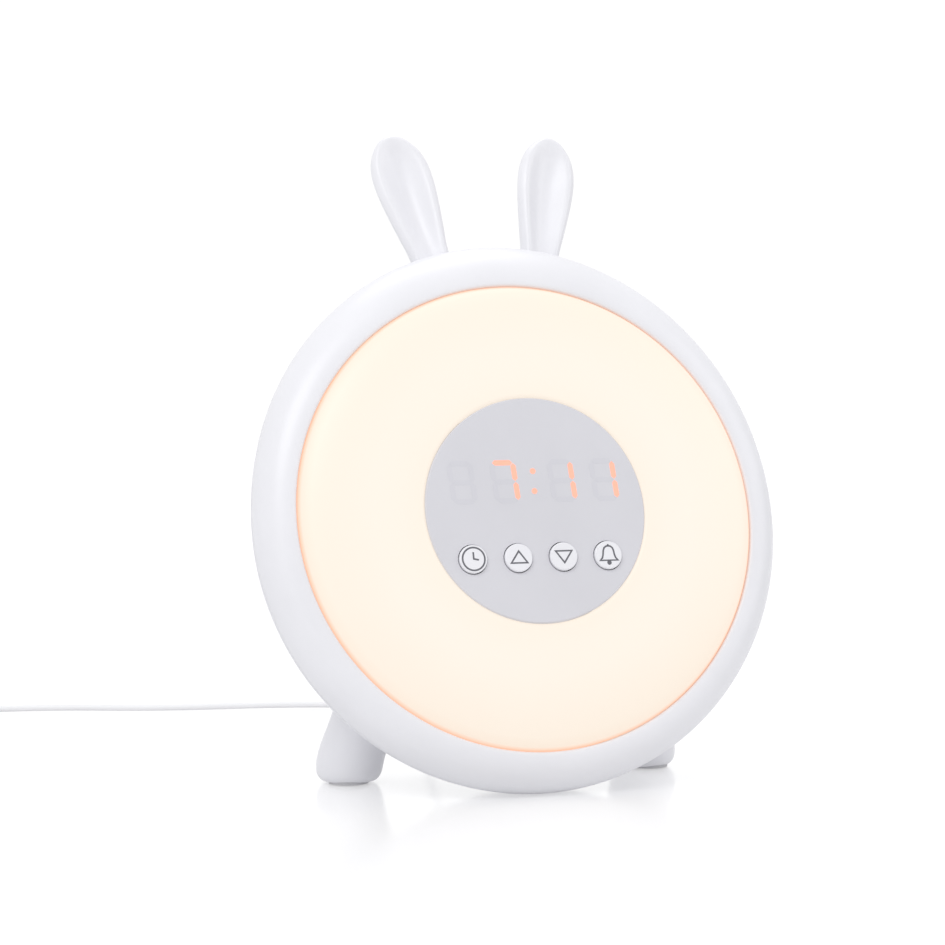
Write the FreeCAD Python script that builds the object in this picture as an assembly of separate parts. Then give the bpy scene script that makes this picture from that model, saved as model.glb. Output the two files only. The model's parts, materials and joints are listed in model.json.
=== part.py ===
"""Kids alarm clock with a night light: a round white clock with two ears and two feet.

A domed, lit diffuser fills the front. A round grey panel in its middle covers a four-digit LED display
and carries four push buttons. The back shell holds a speaker, a backup cell and the power jack.
Row frame: millimetres, +Z up, the front towards -Y, the origin on the table under the middle of the clock.
The clock itself is drawn upright in its own frame (x right, y depth from the face, z up the face)
and then leant back; feet and power cord are drawn standing on the table.
"""
import FreeCAD
import Part
import math
import os

from FreeCAD import Placement, Rotation, Vector

# Driving dimensions of the casing
LEAN_DEG = 15.4            # the face leans back from upright
FACE_Y = -26.2             # the face's centre, so that the clock stands over the origin
RIM_WIDTH = 12.0           # of the casing round the diffuser, up to its widest radius
BODY_DEPTH = 64.0          # from the front rim to the flat back
RIM_DEPTH = 12.0           # depth of the rounded front rim
PARTING_DEPTH = 13.0       # where front rim and rear shell meet
BACK_RADIUS = 44.0         # flat round back
WALL = 2.4                 # casing wall
FIT_GAP = 0.15             # clearance between pieces that slot together
BASE_FLAT = 0.3            # how deep the casing is cut flat where it stands

# Light
LIGHT_RADIUS = 77.0        # visible radius of the diffuser
LIGHT_WALL = 2.2
DOME_HEIGHT = 7.1          # the diffuser's middle stands this far in front of the rim
FLANGE_WIDTH = 3.6
FLANGE_THICK = 2.0
LED_COUNT = 18
LED_CIRCLE_RADIUS = 58.0
LED_SIDE = 5.0
LED_THICK = 1.6

# Display and buttons
PANEL_RADIUS = 37.1
PANEL_THICK = 2.5
PANEL_PROUD = 0.2          # the panel stands this far in front of the diffuser's middle
POD_WALL = 1.8
BUTTON_RADIUS = 4.6
BUTTON_PITCH = 15.2
BUTTON_HEIGHT = -15.7      # of the button row, from the middle of the panel
BUTTON_PROUD = 1.1
BUTTON_TRAVEL = 0.5
BUTTON_GAP = 0.3           # between a cap and its hole
BUTTON_NAMES = ("clock", "up", "down", "alarm")
DIGIT_HEIGHT = 14.2
DIGIT_WIDTH = 8.8
STROKE = 1.7               # width of a display segment
DIGIT_CENTRES = (-24.1, -9.7, 9.7, 24.1)
DIGIT_ROW = 9.4            # height of the digits' middle on the panel
MODULE_SIZE = (57.2, 8.6, 17.4)
BOARD_THICK = 1.6

# Ears and feet
EAR_SPREAD_DEG = 12.3      # each ear leans outwards
EAR_BACK_DEG = 6.2         # and a little backwards
EAR_TOE_DEG = 5.0          # and its hollow looks a little inwards
EAR_ROOT = (17.1, 20.4)     # across and behind the face; it starts inside the top of the casing
EAR_ROOT_IN = 6.0
FOOT_RADIUS = 9.5
FOOT_PLACE = (52.9, 31.7)  # right foot on the table, seen from the middle of the face
FOOT_TOP_SHIFT = (-11.5, -3.0)
FOOT_TOP_RADIUS = 12.5
FOOT_REACH = 46.0          # height at which the foot's stem ends inside the casing's outline
PAD_THICK = 1.2
PAD_PROUD = 0.5

# Back
SPEAKER_RADIUS = 18.0
GRILLE_HOLE_RADIUS = 1.1
GRILLE_PITCH = 4.4
GRILLE_RINGS = 3
JACK_HEIGHT = -32.0
JACK_BORE_RADIUS = 2.9
CELL_RADIUS = 8.0
CELL_THICK = 3.2
CELL_HEIGHT = 31.0
DOOR_SIZE = (23.0, 18.0)
SCREW_CIRCLE_RADIUS = 50.0

# Power cord
CORD_RADIUS = 1.2
COIL_TURNS = 5             # per layer, in two layers
COIL_PITCH = 3.0
COIL_INNER_RADIUS = 9.6

FRONT = Vector(0, -1, 0)
DEPTH = Vector(0, 1, 0)
UP = Vector(0, 0, 1)


def turned(*pieces):
    """Solid of revolution about the clock's axis. Each piece of the outline is a list of (radius, depth)
    points: two for a line, four for a Bezier curve."""
    edges = []
    for points in pieces:
        places = [Vector(r, d, 0) for r, d in points]
        if len(places) == 4:
            curve = Part.BezierCurve()
            curve.setPoles(places)
            edges.append(curve.toShape())
        else:
            edges += [Part.makeLine(a, b) for a, b in zip(places, places[1:])]
    face = Part.Face(Part.Wire(edges))
    return face.revolve(Vector(0, 0, 0), DEPTH, 360)


def rod(place, direction, radius, length):
    return Part.makeCylinder(radius, length, Vector(*place), Vector(*direction))


def block(middle, size):
    """Box by the middle of its front face and its (x, depth, z) size."""
    x, d, z = middle
    w, t, h = size
    return Part.makeBox(w, t, h, Vector(x - w / 2, d, z - h / 2))


def around(count, radius, start_deg=0.0):
    """(x, z) places spread evenly on a circle on the face."""
    for i in range(count):
        a = math.radians(start_deg + 360 * i / count)
        yield radius * math.cos(a), radius * math.sin(a)


def cut_all(shape, tools):
    tools = list(tools)
    return shape.cut(tools[0].multiFuse(tools[1:]) if len(tools) > 1 else tools[0])


def fuse_all(shape, others):
    return shape.multiFuse(list(others)).removeSplitter()


# Outlines that several pieces share
BODY_RADIUS = LIGHT_RADIUS + RIM_WIDTH
LIP_RADIUS = LIGHT_RADIUS + FIT_GAP
RIM_CREST = LIP_RADIUS + 1.2
SEAT_DEPTH = 2.6                       # front face of the diffuser's flange
FLANGE_RADIUS = LIGHT_RADIUS + FLANGE_WIDTH
LEDGE_DEPTH = RIM_DEPTH                # where the reflector's flange is screwed on
TONGUE_RADIUS = BODY_RADIUS - WALL - 0.8
TONGUE_WALL = 1.2
RIM_SCREW_RADIUS = FLANGE_RADIUS + 1.9
FLOOR_DEPTH = 18.0                     # front face of the reflector's floor
FLOOR_THICK = 1.8
PANEL_FRONT = -DOME_HEIGHT - PANEL_PROUD
PANEL_BACK = PANEL_FRONT + PANEL_THICK
POD_RADIUS = PANEL_RADIUS - FIT_GAP
POD_BACK = FLOOR_DEPTH + FLOOR_THICK + 2.0
BOARD_FRONT = PANEL_BACK + 0.2 + MODULE_SIZE[1]
ARC = 0.5523                           # Bezier handle that makes a quarter of an ellipse


def rim_curve():
    """The rounded front of the casing, from its crest beside the diffuser to its widest radius."""
    reach = BODY_RADIUS - RIM_CREST
    return [(RIM_CREST, 0), (RIM_CREST + ARC * reach, 0),
            (BODY_RADIUS, RIM_DEPTH * (1 - ARC)), (BODY_RADIUS, RIM_DEPTH)]


def back_curve(inset=0.0):
    """The side and back of the casing, from the parting line to the flat back, moved in by inset."""
    return [(BODY_RADIUS - inset, PARTING_DEPTH), (BODY_RADIUS - inset, PARTING_DEPTH + 5),
            (BODY_RADIUS - 15 - 0.7 * inset, BODY_DEPTH - inset), (BACK_RADIUS, BODY_DEPTH - inset)]


def on_curve(poles, t):
    weights = ((1 - t) ** 3, 3 * (1 - t) ** 2 * t, 3 * (1 - t) * t ** 2, t ** 3)
    return tuple(sum(w * p[k] for w, p in zip(weights, poles)) for k in (0, 1))


def face_height():
    """Height of the face's centre above the table: the casing stands on its lowest point, cut a little flat."""
    lean = math.radians(LEAN_DEG)
    reach = max(r * math.cos(lean) + d * math.sin(lean)
                for r, d in (on_curve(back_curve(), i / 400) for i in range(401)))
    return reach - BASE_FLAT


def leant(shape):
    """From the upright clock frame to the table: lean back and lift to the face's height."""
    place = Placement(Vector(0, FACE_Y, face_height()), Rotation(Vector(1, 0, 0), -LEAN_DEG))
    moved = shape.copy()
    moved.Placement = place.multiply(moved.Placement)
    return moved


def body_volume(growth=0.0):
    """The whole outline of the casing as one solid, for seating ears and feet."""
    back = [(r + growth, d) for r, d in back_curve()]
    back[-1] = (BACK_RADIUS, BODY_DEPTH + growth)
    back[-2] = (back[-2][0], BODY_DEPTH + growth)
    rim = [(r + (growth if i > 1 else 0), d) for i, (r, d) in enumerate(rim_curve())]
    return turned([(0, 0), rim[0]], rim, [rim[-1], back[0]], back, [back[-1], (0, BODY_DEPTH + growth), (0, 0)])


# Casing
def front_rim():
    inner = TONGUE_RADIUS - TONGUE_WALL
    ring = turned(
        rim_curve(),
        [(BODY_RADIUS, RIM_DEPTH), (BODY_RADIUS, PARTING_DEPTH), (TONGUE_RADIUS, PARTING_DEPTH),
         (TONGUE_RADIUS, PARTING_DEPTH + 2.4), (inner, PARTING_DEPTH + 2.4), (inner, LEDGE_DEPTH),
         (FLANGE_RADIUS + FIT_GAP, LEDGE_DEPTH), (FLANGE_RADIUS + FIT_GAP, SEAT_DEPTH),
         (LIP_RADIUS, SEAT_DEPTH), (LIP_RADIUS, 1.1)],
        [(LIP_RADIUS, 1.1), (LIP_RADIUS, 0.4), (RIM_CREST - 0.7, 0), (RIM_CREST, 0)])
    pilots = [rod((x, LEDGE_DEPTH - 6, z), DEPTH, 1.0, 7) for x, z in around(6, RIM_SCREW_RADIUS, 30)]
    return cut_all(ring, pilots)


def back_core():
    """The space inside the middle of the back's wall, which trims what stands on the wall."""
    middle = back_curve(WALL / 2)
    return turned(middle, [middle[-1], (0, BODY_DEPTH - WALL / 2), (0, PARTING_DEPTH), middle[0]])


def screw_places():
    return list(around(4, SCREW_CIRCLE_RADIUS, 45))


def rear_shell():
    outer, inner = back_curve(), back_curve(WALL)
    shell = turned(outer,
                   [(BACK_RADIUS, BODY_DEPTH), (0, BODY_DEPTH), (0, BODY_DEPTH - WALL),
                    (BACK_RADIUS, BODY_DEPTH - WALL)],
                   inner[::-1],
                   [(BODY_RADIUS - WALL, PARTING_DEPTH), (BODY_RADIUS, PARTING_DEPTH)])
    towers, cuts = [], []
    for x, z in screw_places():
        towers.append(rod((x, BODY_DEPTH - 14, z), DEPTH, 5.0, 16).common(back_core()))
        cuts.append(rod((x, BODY_DEPTH - 6, z), DEPTH, 3.3, 7))
        cuts.append(rod((x, BODY_DEPTH - 15, z), DEPTH, 1.7, 12))
    ring = turned([(SPEAKER_RADIUS + 0.3, BODY_DEPTH - WALL / 2), (SPEAKER_RADIUS + 2.1, BODY_DEPTH - WALL / 2),
                   (SPEAKER_RADIUS + 2.1, BODY_DEPTH - WALL - 5), (SPEAKER_RADIUS + 0.3, BODY_DEPTH - WALL - 5),
                   (SPEAKER_RADIUS + 0.3, BODY_DEPTH - WALL / 2)])
    towers.append(ring)
    towers.append(cell_bay())
    towers.append(block((0, BODY_DEPTH - WALL - 6, JACK_HEIGHT), (13, 6 + WALL / 2, 14)))
    cuts += grille_holes() + jack_cuts() + cell_cuts()
    for side in (-1, 1):
        place, axis = ear_axis(side)
        cuts.append(rod(place - axis * 14, axis, EAR_STEM_RADIUS + FIT_GAP, 24))
        place, normal = foot_screw_seat(side)
        cuts.append(rod(place - normal * 3, normal, 1.7, 8))
    return cut_all(fuse_all(shell, towers), cuts)


def grille_holes():
    holes = [rod((0, BODY_DEPTH - WALL - 1, 0), DEPTH, GRILLE_HOLE_RADIUS, WALL + 2)]
    for ring in range(1, GRILLE_RINGS + 1):
        for x, z in around(6 * ring, GRILLE_PITCH * ring):
            holes.append(rod((x, BODY_DEPTH - WALL - 1, z), DEPTH, GRILLE_HOLE_RADIUS, WALL + 2))
    return holes


# Backup cell in its bay behind a small screwed door
BAY_DEPTH = 7.5
DOOR_THICK = 1.8


def cell_bay():
    w, h = DOOR_SIZE
    return block((0, BODY_DEPTH - BAY_DEPTH - 1.6, CELL_HEIGHT), (w + 1.0, BAY_DEPTH + 1.6 - WALL / 2, h + 1.0))


def cell_cuts():
    w, h = DOOR_SIZE
    seat = block((0, BODY_DEPTH - DOOR_THICK, CELL_HEIGHT), (w, DOOR_THICK + 1, h))
    pocket = rod((-2.5, BODY_DEPTH - BAY_DEPTH, CELL_HEIGHT), DEPTH, CELL_RADIUS + 0.3, BAY_DEPTH)
    pilot = rod((w / 2 - 3.4, BODY_DEPTH - 7, CELL_HEIGHT), DEPTH, 0.9, 7)
    return [seat, pocket, pilot]


def cell_door():
    w, h = DOOR_SIZE
    door = block((0, BODY_DEPTH - DOOR_THICK + 0.1, CELL_HEIGHT), (w - 0.5, DOOR_THICK - 0.1, h - 0.5))
    door = door.makeFillet(2.0, [e for e in door.Edges if abs(e.tangentAt(e.FirstParameter).y) > 0.9])
    ribs = [block((-w / 2 + 4.5 + 2.4 * i, BODY_DEPTH, CELL_HEIGHT), (1.0, 0.5, 12)) for i in range(3)]
    hole = rod((w / 2 - 3.4, BODY_DEPTH - 3, CELL_HEIGHT), DEPTH, 1.2, 4)
    head = rod((w / 2 - 3.4, BODY_DEPTH - 1.0, CELL_HEIGHT), DEPTH, 2.1, 2)
    return fuse_all(door, ribs).cut(hole.fuse(head))


def screw(place, direction, head_radius, head_height, radius, length):
    """Cross-head screw: place is under its head, direction points from tip to head."""
    axis = Vector(*direction)
    head = Part.makeCylinder(head_radius, head_height, Vector(*place), axis)
    shank = Part.makeCylinder(radius, length, Vector(*place) - axis * length, axis)
    top = Vector(*place) + axis * head_height
    side = axis.cross(Vector(1, 0, 0.3)).normalize()
    other = axis.cross(side)
    slots = []
    for a, b in ((side, other), (other, side)):
        arm = Part.makeBox(head_radius * 1.3, head_radius * 0.28, head_height * 0.6)
        arm.translate(Vector(-head_radius * 0.65, -head_radius * 0.14, -head_height * 0.6))
        arm.Placement = Placement(top, Rotation(a, b, axis, "ZXY")).multiply(arm.Placement)
        slots.append(arm)
    return cut_all(head.fuse(shank).removeSplitter(), slots)


def jack_cuts():
    return [rod((0, BODY_DEPTH - WALL - 8, JACK_HEIGHT), DEPTH, 4.6, 20),
            block((0, BODY_DEPTH - WALL - 7, JACK_HEIGHT), (9.4, 6.2, 11.4))]


# Light
DOME_RADIUS = LIGHT_RADIUS - 20.0      # where the dome starts to curve back to its edge
BOWL_RADIUS = LIGHT_RADIUS - 6.5       # of the reflector's flat floor


def light_diffuser():
    inner = PANEL_RADIUS + FIT_GAP
    front = [(inner, -DOME_HEIGHT), (DOME_RADIUS, -DOME_HEIGHT), (LIGHT_RADIUS - 0.8, -4.4), (LIGHT_RADIUS, 1.6)]
    back = [(LIGHT_RADIUS - LIGHT_WALL, SEAT_DEPTH + FLANGE_THICK),
            (LIGHT_RADIUS - LIGHT_WALL - 0.8, -2.4), (DOME_RADIUS, -DOME_HEIGHT + LIGHT_WALL),
            (inner + 2, -DOME_HEIGHT + LIGHT_WALL)]
    seat = SEAT_DEPTH + 0.05
    return turned(front,
                  [(LIGHT_RADIUS, 1.6), (LIGHT_RADIUS, seat), (FLANGE_RADIUS, seat),
                   (FLANGE_RADIUS, SEAT_DEPTH + FLANGE_THICK), back[0]],
                  back,
                  [back[-1], (inner + 2, 4.0), (inner, 4.0), (inner, -DOME_HEIGHT)])


def reflector():
    collar_in, collar_out = FLANGE_RADIUS - 2.0, FLANGE_RADIUS
    start = SEAT_DEPTH + FLANGE_THICK + 0.05
    edge = TONGUE_RADIUS - TONGUE_WALL - 0.2
    floor_back = FLOOR_DEPTH + FLOOR_THICK
    hub = POD_RADIUS + 0.2
    bowl = turned([(collar_out, start), (collar_out, LEDGE_DEPTH + 0.05), (edge, LEDGE_DEPTH + 0.05),
                   (edge, LEDGE_DEPTH + 1.8), (collar_out - 0.3, LEDGE_DEPTH + 1.8), (BOWL_RADIUS, floor_back),
                   (hub, floor_back), (hub, FLOOR_DEPTH - 4), (hub + 1.6, FLOOR_DEPTH - 4),
                   (hub + 1.6, FLOOR_DEPTH), (BOWL_RADIUS - 0.3, FLOOR_DEPTH), (collar_in, LEDGE_DEPTH), (collar_in, start),
                   (collar_out, start)])
    posts = [rod((x, floor_back - 0.5, z), DEPTH, 4.0, BODY_DEPTH - 14.1 - floor_back + 0.5)
             for x, z in screw_places()]
    cuts = [rod((x, BODY_DEPTH - 26, z), DEPTH, PILOT_RADIUS, 14) for x, z in screw_places()]
    cuts += [rod((x, LEDGE_DEPTH - 1, z), DEPTH, 1.35, 5) for x, z in around(6, RIM_SCREW_RADIUS, 30)]
    cuts += [rod((x, FLOOR_DEPTH - 1, z), DEPTH, 1.1, 5) for x, z in around(4, POD_SCREW_RADIUS, 0)]
    return cut_all(fuse_all(bowl, posts), cuts)


POD_SCREW_RADIUS = 41.5
LIGHT_BOARD_RADII = (46.0, 68.0)
PILOT_RADIUS = 1.45        # hole for a screw's thread
THREAD_RADIUS = 1.4


def light_board():
    inner, outer = LIGHT_BOARD_RADII
    front = FLOOR_DEPTH - BOARD_THICK - 0.05
    back = FLOOR_DEPTH - 0.05
    board = turned([(inner, front), (outer, front), (outer, back), (inner, back), (inner, front)])
    return cut_all(board, [rod((x, front - 1, z), DEPTH, 1.3, 5) for x, z in around(3, inner + 3.5, 90)])


def light_leds():
    front = FLOOR_DEPTH - BOARD_THICK - 0.05 - LED_THICK
    leds = []
    for x, z in around(LED_COUNT, LED_CIRCLE_RADIUS, 10):
        package = block((x, front, z), (LED_SIDE, LED_THICK, LED_SIDE))
        lens = rod((x, front - 0.01, z), DEPTH, 1.9, 0.4)
        leds.append(package.cut(lens))
    return leds


# Display pod, display and buttons
def display_pod():
    inner = POD_RADIUS - POD_WALL
    flange = POD_RADIUS + 7
    floor_back = FLOOR_DEPTH + FLOOR_THICK + 0.05
    cup = turned([(inner, PANEL_BACK + 0.05), (POD_RADIUS, PANEL_BACK + 0.05), (POD_RADIUS, floor_back),
                  (flange, floor_back), (flange, POD_BACK), (0, POD_BACK), (0, POD_BACK - 2), (inner, POD_BACK - 2),
                  (inner, PANEL_BACK + 0.05)])
    posts = [rod((x, BOARD_FRONT + BOARD_THICK, z), DEPTH, 2.6, POD_BACK - 1 - BOARD_FRONT - BOARD_THICK)
             for x, z in board_screw_places()]
    cuts = [rod((x, BOARD_FRONT, z), DEPTH, SMALL_PILOT, 9) for x, z in board_screw_places()]
    cuts += [rod((x, floor_back - 1, z), DEPTH, 1.3, 6) for x, z in around(4, POD_SCREW_RADIUS, 0)]
    cuts += [block((0, POD_BACK - 4, -18), (22, 6, 5))]
    return cut_all(fuse_all(cup, posts), cuts)


def board_screw_places():
    return [(-30.0, -4.0), (30.0, -4.0), (0.0, -30.0)]


def button_places():
    return [((i - 1.5) * BUTTON_PITCH, BUTTON_HEIGHT) for i in range(4)]


def display_panel():
    chamfer = 0.4
    disc = turned([(0, PANEL_FRONT), (PANEL_RADIUS - chamfer, PANEL_FRONT), (PANEL_RADIUS, PANEL_FRONT + chamfer),
                   (PANEL_RADIUS, PANEL_BACK), (0, PANEL_BACK), (0, PANEL_FRONT)])
    holes = [rod((x, PANEL_FRONT - 1, z), DEPTH, BUTTON_RADIUS + BUTTON_GAP, PANEL_THICK + 2)
             for x, z in button_places()]
    return cut_all(disc, holes)


def stroke_prism(x, z, length, upright, front, thick):
    """One six-sided display segment, pointed at both ends."""
    a, b = length / 2, STROKE / 2
    flat = [(-a, 0), (-a + b, b), (a - b, b), (a, 0), (a - b, -b), (-a + b, -b), (-a, 0)]
    points = [Vector(x + (v if upright else u), front, z + (u if upright else v)) for u, v in flat]
    return Part.Face(Part.makePolygon(points)).extrude(Vector(0, thick, 0))


def segments(front, thick):
    """All the display's segments and the colon's two dots."""
    w, h = DIGIT_WIDTH - STROKE, (DIGIT_HEIGHT - STROKE) / 2
    gap = 0.35
    made = []
    for middle in DIGIT_CENTRES:
        for level in (-1, 0, 1):
            made.append(stroke_prism(middle, DIGIT_ROW + level * h, w - gap, False, front, thick))
        for side in (-1, 1):
            for level in (-0.5, 0.5):
                made.append(stroke_prism(middle + side * w / 2, DIGIT_ROW + level * h, h - gap, True, front, thick))
    for level in (-1, 1):
        made.append(rod((0, front, DIGIT_ROW + level * 3.3), DEPTH, 0.95, thick))
    return made


def display_module():
    w, t, h = MODULE_SIZE
    case = block((0, PANEL_BACK + 0.2, DIGIT_ROW), (w, t, h))
    case = case.makeChamfer(0.6, [e for e in case.Edges if abs(e.tangentAt(e.FirstParameter).y) > 0.9])
    return cut_all(case, segments(PANEL_BACK + 0.2 - 0.5, 2.0))


def display_board():
    radius = POD_RADIUS - POD_WALL - 0.4
    board = rod((0, BOARD_FRONT, 0), DEPTH, radius, BOARD_THICK)
    return cut_all(board, [rod((x, BOARD_FRONT - 1, z), DEPTH, 1.25, 4) for x, z in board_screw_places()])


SWITCH_HEIGHT = 3.4
PLUNGER_RADIUS = 1.7
PLUNGER_PROUD = 0.8
STEM_RADIUS = 1.9
CAP_FLANGE = 1.1


def tact_switches():
    front = BOARD_FRONT - SWITCH_HEIGHT
    made = []
    for x, z in button_places():
        case = block((x, front, z), (6.0, SWITCH_HEIGHT, 6.0))
        made.append(case.cut(rod((x, front - 1, z), DEPTH, PLUNGER_RADIUS + 0.08, 1 + SWITCH_HEIGHT - 0.8)))
    return made


def button(index):
    """A cap with a retaining flange behind the panel and a stem that reaches its switch."""
    x, z = button_places()[index]
    front = PANEL_FRONT - BUTTON_PROUD
    flange = PANEL_BACK + 0.3
    stem_end = BOARD_FRONT - SWITCH_HEIGHT - PLUNGER_PROUD
    cap = rod((x, front, z), DEPTH, BUTTON_RADIUS, flange - front + 0.5)
    cap = cap.makeFillet(0.45, [e for e in cap.Edges if abs(e.CenterOfMass.y - front) < 1e-6 and e.Closed])
    skirt = rod((x, flange, z), DEPTH, BUTTON_RADIUS + CAP_FLANGE, 1.1)
    stem = rod((x, flange + 0.5, z), DEPTH, STEM_RADIUS, stem_end - flange - 0.5)
    return fuse_all(cap, [skirt, stem])


def plunger(index):
    x, z = button_places()[index]
    start = BOARD_FRONT - SWITCH_HEIGHT - PLUNGER_PROUD
    return rod((x, start, z), DEPTH, PLUNGER_RADIUS, PLUNGER_PROUD + SWITCH_HEIGHT - 0.8 - BUTTON_TRAVEL - 0.15)


# Main board, speaker, jack
MAIN_BOARD_FRONT = 28.0
SMALL_PILOT = 1.05
SMALL_THREAD = 1.0


def main_board():
    board = block((0, MAIN_BOARD_FRONT, -2), (60, BOARD_THICK, 40))
    return cut_all(board, [rod((x, MAIN_BOARD_FRONT - 1, z), DEPTH, 1.3, 4) for x, z in main_board_screws()])


def main_board_screws():
    return [(-26, -2), (26, -2)]


def board_spacers():
    front = POD_BACK + 0.05
    made = []
    for x, z in main_board_screws():
        post = rod((x, front, z), DEPTH, 2.8, MAIN_BOARD_FRONT - front)
        made.append(post.cut(rod((x, front - 1, z), DEPTH, SMALL_PILOT, 20)))
    return made


def board_parts():
    """What stands on the main board: controller, sound chip, two capacitors, a buzzer coil and three sockets."""
    back = MAIN_BOARD_FRONT + BOARD_THICK
    parts = [block((-8, back, 2), (10, 1.5, 10)), block((10, back, 4), (8, 1.5, 5)),
             block((18, back, -17), (8, 5, 4.5)), block((-18, back, -17), (10, 5, 4.5)),
             block((-18, back, 12), (6, 5, 4.5))]
    parts += [rod((x, back, -14), DEPTH, 2.5, 7.5) for x in (2, 8)]
    return parts


def speaker_frame():
    """Open basket of the speaker: a rim ring, three spokes and a ring that holds the magnet."""
    rim = BODY_DEPTH - WALL - 0.05
    r = SPEAKER_RADIUS
    ring = turned([(r - 3.5, rim), (r, rim), (r, rim - 2.0), (r - 3.5, rim - 2.0), (r - 3.5, rim)])
    seat = turned([(6, rim - 9), (10.5, rim - 9), (10.5, rim - 7.6), (6, rim - 7.6), (6, rim - 9)])
    spokes = []
    for i in range(4):
        a = [Vector(9, rim - 9, 0), Vector(10.6, rim - 9, 0), Vector(r - 1.5, rim - 2, 0),
             Vector(r - 1.5, rim - 0.8, 0), Vector(r - 3.4, rim - 0.8, 0), Vector(9, rim - 7.6, 0),
             Vector(9, rim - 9, 0)]
        arm = Part.Face(Part.makePolygon([p + Vector(0, 0, -2.2) for p in a])).extrude(Vector(0, 0, 4.4))
        arm.rotate(Vector(0, 0, 0), DEPTH, 90 * i)
        spokes.append(arm)
    return fuse_all(ring, [seat] + spokes)


def speaker_cone():
    rim = BODY_DEPTH - WALL - 2.1
    r = SPEAKER_RADIUS - 3.6
    return turned([(r - 0.2, rim + 1.4), (r - 0.2, rim + 1.0)],
                  [(r - 0.2, rim + 1.0), (r - 1.2, rim + 0.6), (r - 2.6, rim + 0.6), (r - 4.0, rim - 0.4)],
                  [(r - 4.0, rim - 0.4), (5.2, rim - 4.4)],
                  [(5.2, rim - 4.4), (4.2, rim - 2.6), (2.0, rim - 2.2), (0, rim - 2.2)],
                  [(0, rim - 2.2), (0, rim - 1.7)],
                  [(0, rim - 1.7), (2.2, rim - 1.7), (4.6, rim - 2.2), (5.6, rim - 3.7)],
                  [(5.6, rim - 3.7), (r - 3.8, rim + 0.2)],
                  [(r - 3.8, rim + 0.2), (r - 2.6, rim + 1.1), (r - 1.2, rim + 1.2), (r - 0.2, rim + 1.4)])


def speaker_magnet():
    back = BODY_DEPTH - WALL - 0.05 - 9.05
    return turned([(0, back), (9.2, back), (9.2, back - 6), (0, back - 6), (0, back)])


def power_jack():
    case = block((0, BODY_DEPTH - WALL - 6.6, JACK_HEIGHT), (9.0, 5.6, 11.0))
    barrel = rod((0, BODY_DEPTH - WALL - 1.5, JACK_HEIGHT), DEPTH, 4.3, 2.4)
    bore = rod((0, BODY_DEPTH - WALL - 5.5, JACK_HEIGHT), DEPTH, JACK_BORE_RADIUS, 10)
    pin = rod((0, BODY_DEPTH - WALL - 6.0, JACK_HEIGHT), DEPTH, 0.9, 5.2)
    return fuse_all(case.fuse(barrel).cut(bore), [pin])


# Backup cell
def backup_cell():
    start = BODY_DEPTH - BAY_DEPTH + 1.0
    can = rod((-2.5, start, CELL_HEIGHT), DEPTH, CELL_RADIUS, CELL_THICK)
    return can.makeFillet(0.5, [e for e in can.Edges if e.Closed])


def cell_contacts():
    """A spring leaf under the cell and one at its edge."""
    floor = BODY_DEPTH - BAY_DEPTH
    base = block((-2.5, floor + 0.02, CELL_HEIGHT), (10, 0.3, 4))
    bump = rod((-2.5, floor + 0.3, CELL_HEIGHT), DEPTH, 1.6, 0.68)
    return base.fuse(bump).removeSplitter()


# Ears
EAR_STEM_RADIUS = 4.2
EAR_SECTIONS = ((0, 12.0, 10.0), (11.8, 12.8, 10.0), (20, 15.0, 9.9), (28, 17.2, 9.7), (36, 19.0, 9.3),
                (43, 19.2, 8.8), (48.5, 16.8, 7.8), (52.5, 12.4, 6.4), (55.0, 7.4, 4.6), (56.1, 3.4, 2.4))
HOLLOW_SECTIONS = ((-4, 8.0, 2.0), (11.8, 8.8, 3.0), (20, 10.6, 3.3), (28, 12.6, 3.5), (36, 14.2, 3.4),
                   (43, 14.0, 2.9), (48, 11.0, 2.1), (51.5, 6.6, 1.1))


def ear_axis(side):
    """Foot point and direction of an ear's axis in the clock frame."""
    x, d = EAR_ROOT
    spread, back = math.radians(EAR_SPREAD_DEG), math.radians(EAR_BACK_DEG)
    axis = Vector(side * math.sin(spread), math.sin(back), math.cos(spread)).normalize()
    return Vector(side * x, d, BODY_RADIUS - EAR_ROOT_IN), axis


def ellipse_wire(width, thick, offset, height):
    """Closed ellipse across the ear's axis, its middle moved back by offset."""
    long, short = max(width, thick) / 2, min(width, thick) / 2
    curve = Part.Ellipse(Vector(0, offset, height), long, short)
    wire = Part.Wire([curve.toShape()])
    if thick > width:
        wire.rotate(Vector(0, offset, height), UP, 90)
    return wire


def ear(side):
    """A rounded ear with a hollow down its front and a stem that goes into the casing."""
    shape = Part.makeLoft([ellipse_wire(w, t, 0, s) for s, w, t in EAR_SECTIONS], True, False)
    hollow = []
    for s, w, depth in HOLLOW_SECTIONS:
        near = max(EAR_SECTIONS, key=lambda row: -abs(row[0] - s))
        hollow.append(ellipse_wire(w, 2 * (depth + 1.2), -near[2] / 2 - 1.2, s))
    shape = shape.cut(Part.makeLoft(hollow, True, False))
    place, axis = ear_axis(side)
    turn = Rotation(UP, axis)
    shape.rotate(Vector(0, 0, 0), UP, side * EAR_TOE_DEG)
    shape.Placement = Placement(place, turn).multiply(shape.Placement)
    shape = shape.cut(body_volume(0.03))
    stem = rod(place - axis * EAR_STEM_IN, axis, EAR_STEM_RADIUS, EAR_STEM_IN + 7)
    return fuse_all(shape, [stem]).cut(rod(place - axis * (EAR_STEM_IN + 0.5), axis, PILOT_RADIUS, 10))


EAR_STEM_IN = 4.5


def ear_washer(side):
    place, axis = ear_axis(side)
    low = place - axis * (EAR_STEM_IN + 1.25)
    return rod(low, axis, 5.4, 1.2).cut(rod(low - axis, axis, 1.6, 4))


def ear_screw(side):
    place, axis = ear_axis(side)
    return screw(place - axis * (EAR_STEM_IN + 1.27), -axis, 2.8, 1.8, THREAD_RADIUS, 9)


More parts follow.
